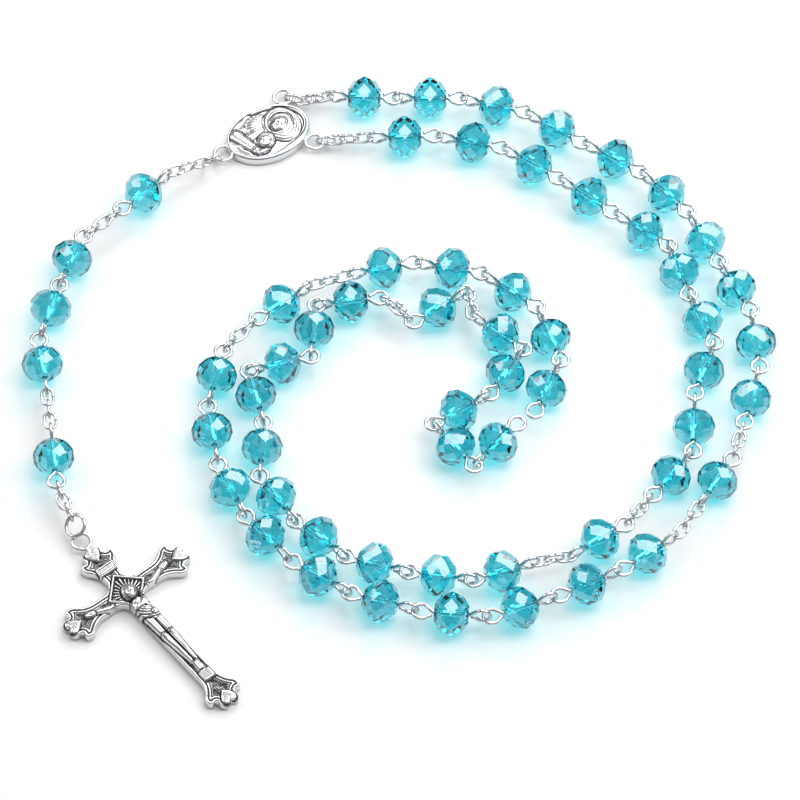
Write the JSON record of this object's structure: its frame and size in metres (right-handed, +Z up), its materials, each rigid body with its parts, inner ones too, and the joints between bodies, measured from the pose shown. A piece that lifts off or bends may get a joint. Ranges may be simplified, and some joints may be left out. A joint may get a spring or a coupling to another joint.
{
  "type": "rosary",
  "caption": "Rosary with faceted glass beads on wire eye pins, an oval centrepiece medal and a crucifix, laid out in a double spiral.",
  "frame": {"origin": "middle of the layout's bounding box, on the flat surface that it lies on", "axes": "+Z up from the surface, +X right and +Y away as seen from the front"},
  "size_m": [0.139, 0.1394, 0.0081],
  "materials": {
    "glass": "gloss",
    "silver": "polished",
    "old_silver": "satin"
  },
  "bodies": {
    "medal": {"medal": "old_silver"},
    "medal_ring": {"medal_ring": "silver"},
    "pendant_upper_link_1": {"pendant_upper_link_1": "silver"},
    "pendant_upper_link_2": {"pendant_upper_link_2": "silver"},
    "pendant_upper_link_3": {"pendant_upper_link_3": "silver"},
    "pendant_our_father_pin": {"pendant_our_father_pin": "silver"},
    "pendant_our_father_bead": {"pendant_our_father_bead": "glass"},
    "pendant_upper_chain": {"pendant_upper_chain": "silver"},
    "pendant_hail_mary_1_pin": {"pendant_hail_mary_1_pin": "silver"},
    "pendant_hail_mary_1_bead": {"pendant_hail_mary_1_bead": "glass"},
    "pendant_hail_mary_2_pin": {"pendant_hail_mary_2_pin": "silver"},
    "pendant_hail_mary_2_bead": {"pendant_hail_mary_2_bead": "glass"},
    "pendant_hail_mary_3_pin": {"pendant_hail_mary_3_pin": "silver"},
    "pendant_hail_mary_3_bead": {"pendant_hail_mary_3_bead": "glass"},
    "pendant_lower_chain": {"pendant_lower_chain": "silver"},
    "pendant_last_pin": {"pendant_last_pin": "silver"},
    "pendant_last_bead": {"pendant_last_bead": "glass"},
    "crucifix_link_1": {"crucifix_link_1": "silver"},
    "crucifix_link_2": {"crucifix_link_2": "silver"},
    "crucifix_link_3": {"crucifix_link_3": "silver"},
    "crucifix_ring": {"crucifix_ring": "silver"},
    "crucifix": {"crucifix": "old_silver"},
    "outer_medal_chain": {"outer_medal_chain": "silver"},
    "decade_1_beads_1_to_2": {"decade_1_beads_1_to_2": "glass"},
    "decade_1_beads_3_to_4": {"decade_1_beads_3_to_4": "glass"},
    "decade_1_beads_5_to_6": {"decade_1_beads_5_to_6": "glass"},
    "decade_1_beads_7_to_8": {"decade_1_beads_7_to_8": "glass"},
    "decade_1_beads_9_to_10": {"decade_1_beads_9_to_10": "glass"},
    "chain_before_our_father_1": {"chain_before_our_father_1": "silver"},
    "our_father_1": {"our_father_1": "glass"},
    "chain_after_our_father_1": {"chain_after_our_father_1": "silver"},
    "decade_2_beads_1_to_2": {"decade_2_beads_1_to_2": "glass"},
    "decade_2_beads_3_to_4": {"decade_2_beads_3_to_4": "glass"},
    "decade_2_beads_5_to_6": {"decade_2_beads_5_to_6": "glass"},
    "decade_2_beads_7_to_8": {"decade_2_beads_7_to_8": "glass"},
    "decade_2_beads_9_to_10": {"decade_2_beads_9_to_10": "glass"},
    "chain_before_our_father_2": {"chain_before_our_father_2": "silver"},
    "our_father_2": {"our_father_2": "glass"},
    "chain_after_our_father_2": {"chain_after_our_father_2": "silver"},
    "decade_3_first_half_beads_1_to_2": {"decade_3_first_half_beads_1_to_2": "glass"},
    "decade_3_first_half_beads_3_to_5": {"decade_3_first_half_beads_3_to_5": "glass"},
    "inner_medal_chain": {"inner_medal_chain": "silver"},
    "decade_5_beads_1_to_2": {"decade_5_beads_1_to_2": "glass"},
    "decade_5_beads_3_to_4": {"decade_5_beads_3_to_4": "glass"},
    "decade_5_beads_5_to_6": {"decade_5_beads_5_to_6": "glass"},
    "decade_5_beads_7_to_8": {"decade_5_beads_7_to_8": "glass"},
    "decade_5_beads_9_to_10": {"decade_5_beads_9_to_10": "glass"},
    "chain_after_our_father_4": {"chain_after_our_father_4": "silver"},
    "our_father_4": {"our_father_4": "glass"},
    "chain_before_our_father_4": {"chain_before_our_father_4": "silver"},
    "decade_4_beads_1_to_2": {"decade_4_beads_1_to_2": "glass"},
    "decade_4_beads_3_to_4": {"decade_4_beads_3_to_4": "glass"},
    "decade_4_beads_5_to_6": {"decade_4_beads_5_to_6": "glass"},
    "decade_4_beads_7_to_8": {"decade_4_beads_7_to_8": "glass"},
    "decade_4_beads_9_to_10": {"decade_4_beads_9_to_10": "glass"},
    "chain_after_our_father_3": {"chain_after_our_father_3": "silver"},
    "our_father_3": {"our_father_3": "glass"},
    "chain_before_our_father_3": {"chain_before_our_father_3": "silver"},
    "decade_3_second_half_beads_1_to_2": {"decade_3_second_half_beads_1_to_2": "glass"},
    "decade_3_second_half_beads_3_to_5": {"decade_3_second_half_beads_3_to_5": "glass"}
  },
  "joints": [
    {"name": "medal_ring_swing", "type": "hinge", "parent": "medal", "child": "medal_ring", "pos_m": [-0.0344, 0.05332, 0.00167], "axis": [0.6447, -0.7644, 0], "range_deg": [-20, 35]},
    {"name": "pendant_upper_link_1_swing", "type": "hinge", "parent": "medal_ring", "child": "pendant_upper_link_1", "pos_m": [-0.03667, 0.05141, 0.00259], "axis": [-0.6447, 0.7644, 0], "range_deg": [-35, 35]},
    {"name": "pendant_upper_link_2_swing", "type": "hinge", "parent": "pendant_upper_link_1", "child": "pendant_upper_link_2", "pos_m": [-0.03892, 0.05, 0.00315], "axis": [-0.4834, 0.8754, 0], "range_deg": [-35, 35]},
    {"name": "pendant_upper_link_3_swing", "type": "hinge", "parent": "pendant_upper_link_2", "child": "pendant_upper_link_3", "pos_m": [-0.04129, 0.04869, 0.00362], "axis": [0.4834, -0.8754, 0], "range_deg": [-35, 35]},
    {"name": "pendant_our_father_pin_swing", "type": "hinge", "parent": "pendant_upper_link_3", "child": "pendant_our_father_pin", "pos_m": [-0.04356, 0.04726, 0.00396], "axis": [0.6925, -0.7214, 0], "range_deg": [-35, 35]},
    {"name": "pendant_our_father_bead_spin", "type": "hinge", "parent": "pendant_our_father_pin", "child": "pendant_our_father_bead", "pos_m": [-0.0483, 0.04271, 0.00404], "axis": [-0.7213, -0.6925, 0.0115], "continuous": true},
    {"name": "pendant_upper_chain_swing", "type": "hinge", "parent": "pendant_our_father_pin", "child": "pendant_upper_chain", "pos_m": [-0.05295, 0.03827, 0.0041], "axis": [-0.6802, 0.7331, 0], "range_deg": [-35, 35]},
    {"name": "pendant_hail_mary_1_pin_swing", "type": "hinge", "parent": "pendant_upper_chain", "child": "pendant_hail_mary_1_pin", "pos_m": [-0.05867, 0.033, 0.00411], "axis": [-0.6755, 0.7374, 0], "range_deg": [-35, 35]},
    {"name": "pendant_hail_mary_1_bead_spin", "type": "hinge", "parent": "pendant_hail_mary_1_pin", "child": "pendant_hail_mary_1_bead", "pos_m": [-0.06122, 0.02727, 0.00411], "axis": [-0.3463, -0.9381, 0], "continuous": true},
    {"name": "pendant_hail_mary_2_pin_swing", "type": "hinge", "parent": "pendant_hail_mary_1_pin", "child": "pendant_hail_mary_2_pin", "pos_m": [-0.0633, 0.02163, 0.00411], "axis": [0.9381, -0.3463, 0], "range_deg": [-35, 35]},
    {"name": "pendant_hail_mary_2_bead_spin", "type": "hinge", "parent": "pendant_hail_mary_2_pin", "child": "pendant_hail_mary_2_bead", "pos_m": [-0.06486, 0.01583, 0.00411], "axis": [-0.2514, -0.9679, 0], "continuous": true},
    {"name": "pendant_hail_mary_3_pin_swing", "type": "hinge", "parent": "pendant_hail_mary_2_pin", "child": "pendant_hail_mary_3_pin", "pos_m": [-0.0665, 0.00952, 0.00411], "axis": [0.9679, -0.2514, 0], "range_deg": [-35, 35]},
    {"name": "pendant_hail_mary_3_bead_spin", "type": "hinge", "parent": "pendant_hail_mary_3_pin", "child": "pendant_hail_mary_3_bead", "pos_m": [-0.06593, 0.0031, 0.00411], "axis": [0.1532, -0.9882, 0], "continuous": true},
    {"name": "pendant_lower_chain_swing", "type": "hinge", "parent": "pendant_hail_mary_3_pin", "child": "pendant_lower_chain", "pos_m": [-0.06494, -0.00324, 0.00411], "axis": [-0.9882, -0.1532, 0], "range_deg": [-35, 35]},
    {"name": "pendant_last_pin_swing", "type": "hinge", "parent": "pendant_lower_chain", "child": "pendant_last_pin", "pos_m": [-0.06397, -0.0111, 0.00411], "axis": [-0.9933, -0.1152, 0], "range_deg": [-35, 35]},
    {"name": "pendant_last_bead_spin", "type": "hinge", "parent": "pendant_last_pin", "child": "pendant_last_bead", "pos_m": [-0.06321, -0.01763, 0.00411], "axis": [0.1152, -0.9933, 0], "continuous": true},
    {"name": "crucifix_link_1_swing", "type": "hinge", "parent": "pendant_last_pin", "child": "crucifix_link_1", "pos_m": [-0.06229, -0.02391, 0.00403], "axis": [0.9468, 0.3217, 0], "range_deg": [-35, 35]},
    {"name": "crucifix_link_2_swing", "type": "hinge", "parent": "crucifix_link_1", "child": "crucifix_link_2", "pos_m": [-0.06154, -0.02613, 0.00381], "axis": [0.9468, 0.3217, 0], "range_deg": [-35, 35]},
    {"name": "crucifix_link_3_swing", "type": "hinge", "parent": "crucifix_link_2", "child": "crucifix_link_3", "pos_m": [-0.06057, -0.02831, 0.00349], "axis": [-0.9069, -0.4213, 0], "range_deg": [-35, 35]},
    {"name": "crucifix_ring_swing", "type": "hinge", "parent": "crucifix_link_3", "child": "crucifix_ring", "pos_m": [-0.0595, -0.03061, 0.00313], "axis": [-0.9069, -0.4213, 0], "range_deg": [-35, 35]},
    {"name": "crucifix_swing", "type": "hinge", "parent": "crucifix_ring", "child": "crucifix", "pos_m": [-0.05821, -0.03339, 0.0027], "axis": [0.9069, 0.4213, 0], "range_deg": [-35, 20]},
    {"name": "outer_medal_chain_swing", "type": "hinge", "parent": "medal", "child": "outer_medal_chain", "pos_m": [-0.02136, 0.06729, 0.00145], "axis": [-0.3023, -0.9532, 0], "range_deg": [-35, 35]},
    {"name": "decade_1_beads_1_to_2_swing", "type": "hinge", "parent": "outer_medal_chain", "child": "decade_1_beads_1_to_2", "pos_m": [-0.01316, 0.06576, 0.00399], "axis": [-0.0395, -0.9992, 0], "range_deg": [-35, 35]},
    {"name": "decade_1_beads_3_to_4_swing", "type": "hinge", "parent": "decade_1_beads_1_to_2", "child": "decade_1_beads_3_to_4", "pos_m": [0.01223, 0.065, 0.00411], "axis": [0.2546, 0.967, 0], "range_deg": [-35, 35]},
    {"name": "decade_1_beads_5_to_6_swing", "type": "hinge", "parent": "decade_1_beads_3_to_4", "child": "decade_1_beads_5_to_6", "pos_m": [0.03528, 0.05414, 0.00411], "axis": [0.5385, 0.8426, 0], "range_deg": [-35, 35]},
    {"name": "decade_1_beads_7_to_8_swing", "type": "hinge", "parent": "decade_1_beads_5_to_6", "child": "decade_1_beads_7_to_8", "pos_m": [0.05448, 0.03737, 0.00411], "axis": [-0.9015, -0.4328, 0], "range_deg": [-35, 35]},
    {"name": "decade_1_beads_9_to_10_swing", "type": "hinge", "parent": "decade_1_beads_7_to_8", "child": "decade_1_beads_9_to_10", "pos_m": [0.0653, 0.01446, 0.00411], "axis": [-0.9951, -0.0985, 0], "range_deg": [-35, 35]},
    {"name": "chain_before_our_father_1_swing", "type": "hinge", "parent": "decade_1_beads_9_to_10", "child": "chain_before_our_father_1", "pos_m": [0.06302, -0.01078, 0.00411], "axis": [0.9593, -0.2824, 0], "range_deg": [-35, 35]},
    {"name": "our_father_1_swing", "type": "hinge", "parent": "chain_before_our_father_1", "child": "our_father_1", "pos_m": [0.06107, -0.0172, 0.00411], "axis": [0.9557, -0.2945, 0], "range_deg": [-35, 35]},
    {"name": "chain_after_our_father_1_swing", "type": "hinge", "parent": "our_father_1", "child": "chain_after_our_father_1", "pos_m": [0.05451, -0.02832, 0.00411], "axis": [-0.8506, 0.5258, 0], "range_deg": [-35, 35]},
    {"name": "decade_2_beads_1_to_2_swing", "type": "hinge", "parent": "chain_after_our_father_1", "child": "decade_2_beads_1_to_2", "pos_m": [0.05, -0.03492, 0.00411], "axis": [-0.5997, 0.8002, 0], "range_deg": [-35, 35]},
    {"name": "decade_2_beads_3_to_4_swing", "type": "hinge", "parent": "decade_2_beads_1_to_2", "child": "decade_2_beads_3_to_4", "pos_m": [0.02777, -0.04826, 0.00411], "axis": [0.3448, -0.9387, 0], "range_deg": [-35, 35]},
    {"name": "decade_2_beads_5_to_6_swing", "type": "hinge", "parent": "decade_2_beads_3_to_4", "child": "decade_2_beads_5_to_6", "pos_m": [0.00283, -0.051, 0.00411], "axis": [-0.2926, -0.9562, 0], "range_deg": [-35, 35]},
    {"name": "decade_2_beads_7_to_8_swing", "type": "hinge", "parent": "decade_2_beads_5_to_6", "child": "decade_2_beads_7_to_8", "pos_m": [-0.01998, -0.03987, 0.00411], "axis": [0.751, 0.6603, 0], "range_deg": [-35, 35]},
    {"name": "decade_2_beads_9_to_10_swing", "type": "hinge", "parent": "decade_2_beads_7_to_8", "child": "decade_2_beads_9_to_10", "pos_m": [-0.03329, -0.01841, 0.00411], "axis": [0.9859, 0.1675, 0], "range_deg": [-35, 35]},
    {"name": "chain_before_our_father_2_swing", "type": "hinge", "parent": "decade_2_beads_9_to_10", "child": "chain_before_our_father_2", "pos_m": [-0.03211, 0.00666, 0.00411], "axis": [-0.8118, 0.584, 0], "range_deg": [-35, 35]},
    {"name": "our_father_2_swing", "type": "hinge", "parent": "chain_before_our_father_2", "child": "our_father_2", "pos_m": [-0.02704, 0.01265, 0.00411], "axis": [-0.7329, 0.6803, 0], "range_deg": [-35, 35]},
    {"name": "chain_after_our_father_2_swing", "type": "hinge", "parent": "our_father_2", "child": "chain_after_our_father_2", "pos_m": [-0.01688, 0.0208, 0.00411], "axis": [0.6154, -0.7882, 0], "range_deg": [-35, 35]},
    {"name": "decade_3_first_half_beads_1_to_2_swing", "type": "hinge", "parent": "chain_after_our_father_2", "child": "decade_3_first_half_beads_1_to_2", "pos_m": [-0.0093, 0.02354, 0.00411], "axis": [0.2427, -0.9701, 0], "range_deg": [-35, 35]},
    {"name": "decade_3_first_half_beads_3_to_5_swing", "type": "hinge", "parent": "decade_3_first_half_beads_1_to_2", "child": "decade_3_first_half_beads_3_to_5", "pos_m": [0.01596, 0.02337, 0.00411], "axis": [0.6022, 0.7984, 0], "range_deg": [-35, 35]},
    {"name": "inner_medal_chain_swing", "type": "hinge", "parent": "medal", "child": "inner_medal_chain", "pos_m": [-0.01514, 0.05677, 0.00159], "axis": [0.1043, 0.9945, 0], "range_deg": [-5, 35]},
    {"name": "decade_5_beads_1_to_2_swing", "type": "hinge", "parent": "inner_medal_chain", "child": "decade_5_beads_1_to_2", "pos_m": [-0.00561, 0.05586, 0.00391], "axis": [0.03, -0.9996, 0], "range_deg": [-35, 35]},
    {"name": "decade_5_beads_3_to_4_swing", "type": "hinge", "parent": "decade_5_beads_1_to_2", "child": "decade_5_beads_3_to_4", "pos_m": [0.02003, 0.05289, 0.00411], "axis": [-0.5612, -0.8277, 0], "range_deg": [-35, 35]},
    {"name": "decade_5_beads_5_to_6_swing", "type": "hinge", "parent": "decade_5_beads_3_to_4", "child": "decade_5_beads_5_to_6", "pos_m": [0.04079, 0.0376, 0.00411], "axis": [0.6069, 0.7948, 0], "range_deg": [-35, 35]},
    {"name": "decade_5_beads_7_to_8_swing", "type": "hinge", "parent": "decade_5_beads_5_to_6", "child": "decade_5_beads_7_to_8", "pos_m": [0.054, 0.01859, 0.00411], "axis": [0.9277, 0.3734, 0], "range_deg": [-35, 35]},
    {"name": "decade_5_beads_9_to_10_swing", "type": "hinge", "parent": "decade_5_beads_7_to_8", "child": "decade_5_beads_9_to_10", "pos_m": [0.05426, -0.0045, 0.00411], "axis": [-0.9985, 0.0551, 0], "range_deg": [-35, 35]},
    {"name": "chain_after_our_father_4_swing", "type": "hinge", "parent": "decade_5_beads_9_to_10", "child": "chain_after_our_father_4", "pos_m": [0.04552, -0.02677, 0.00411], "axis": [-0.7776, 0.6288, 0], "range_deg": [-35, 35]},
    {"name": "our_father_4_swing", "type": "hinge", "parent": "chain_after_our_father_4", "child": "our_father_4", "pos_m": [0.04131, -0.03193, 0.00411], "axis": [0.7739, -0.6334, 0], "range_deg": [-35, 35]},
    {"name": "chain_before_our_father_4_swing", "type": "hinge", "parent": "our_father_4", "child": "chain_before_our_father_4", "pos_m": [0.03104, -0.03926, 0.00411], "axis": [0.565, -0.8251, 0], "range_deg": [-35, 35]},
    {"name": "decade_4_beads_1_to_2_swing", "type": "hinge", "parent": "chain_before_our_father_4", "child": "decade_4_beads_1_to_2", "pos_m": [0.02446, -0.0407, 0.00411], "axis": [-0.3214, 0.9469, 0], "range_deg": [-35, 35]},
    {"name": "decade_4_beads_3_to_4_swing", "type": "hinge", "parent": "decade_4_beads_1_to_2", "child": "decade_4_beads_3_to_4", "pos_m": [0.0012, -0.0427, 0.00411], "axis": [0.2847, 0.9586, 0], "range_deg": [-35, 35]},
    {"name": "decade_4_beads_5_to_6_swing", "type": "hinge", "parent": "decade_4_beads_3_to_4", "child": "decade_4_beads_5_to_6", "pos_m": [-0.0191, -0.03137, 0.00411], "axis": [-0.8284, -0.5602, 0], "range_deg": [-35, 35]},
    {"name": "decade_4_beads_7_to_8_swing", "type": "hinge", "parent": "decade_4_beads_5_to_6", "child": "decade_4_beads_7_to_8", "pos_m": [-0.02508, -0.00961, 0.00411], "axis": [-0.9721, -0.2344, 0], "range_deg": [-35, 35]},
    {"name": "decade_4_beads_9_to_10_swing", "type": "hinge", "parent": "decade_4_beads_7_to_8", "child": "decade_4_beads_9_to_10", "pos_m": [-0.01639, 0.00519, 0.00411], "axis": [0.9967, -0.0813, 0], "range_deg": [-35, 35]},
    {"name": "chain_after_our_father_3_swing", "type": "hinge", "parent": "decade_4_beads_9_to_10", "child": "chain_after_our_father_3", "pos_m": [-0.00301, 0.01771, 0.00411], "axis": [-0.5186, -0.855, 0], "range_deg": [-35, 35]},
    {"name": "our_father_3_swing", "type": "hinge", "parent": "chain_after_our_father_3", "child": "our_father_3", "pos_m": [0.00191, 0.0134, 0.00411], "axis": [0.7084, 0.7058, 0], "range_deg": [-35, 35]},
    {"name": "chain_before_our_father_3_swing", "type": "hinge", "parent": "our_father_3", "child": "chain_before_our_father_3", "pos_m": [0.01217, 0.01961, 0.00411], "axis": [-0.5839, 0.8118, 0], "range_deg": [-35, 35]},
    {"name": "decade_3_second_half_beads_1_to_2_swing", "type": "hinge", "parent": "chain_before_our_father_3", "child": "decade_3_second_half_beads_1_to_2", "pos_m": [0.01383, 0.01403, 0.00411], "axis": [-0.6441, -0.7649, 0], "range_deg": [-35, 35]},
    {"name": "decade_3_second_half_beads_3_to_5_swing", "type": "hinge", "parent": "decade_3_second_half_beads_1_to_2", "child": "decade_3_second_half_beads_3_to_5", "pos_m": [0.01604, -0.00399, 0.00411], "axis": [-0.5414, 0.8408, 0], "range_deg": [-35, 35]}
  ]
}
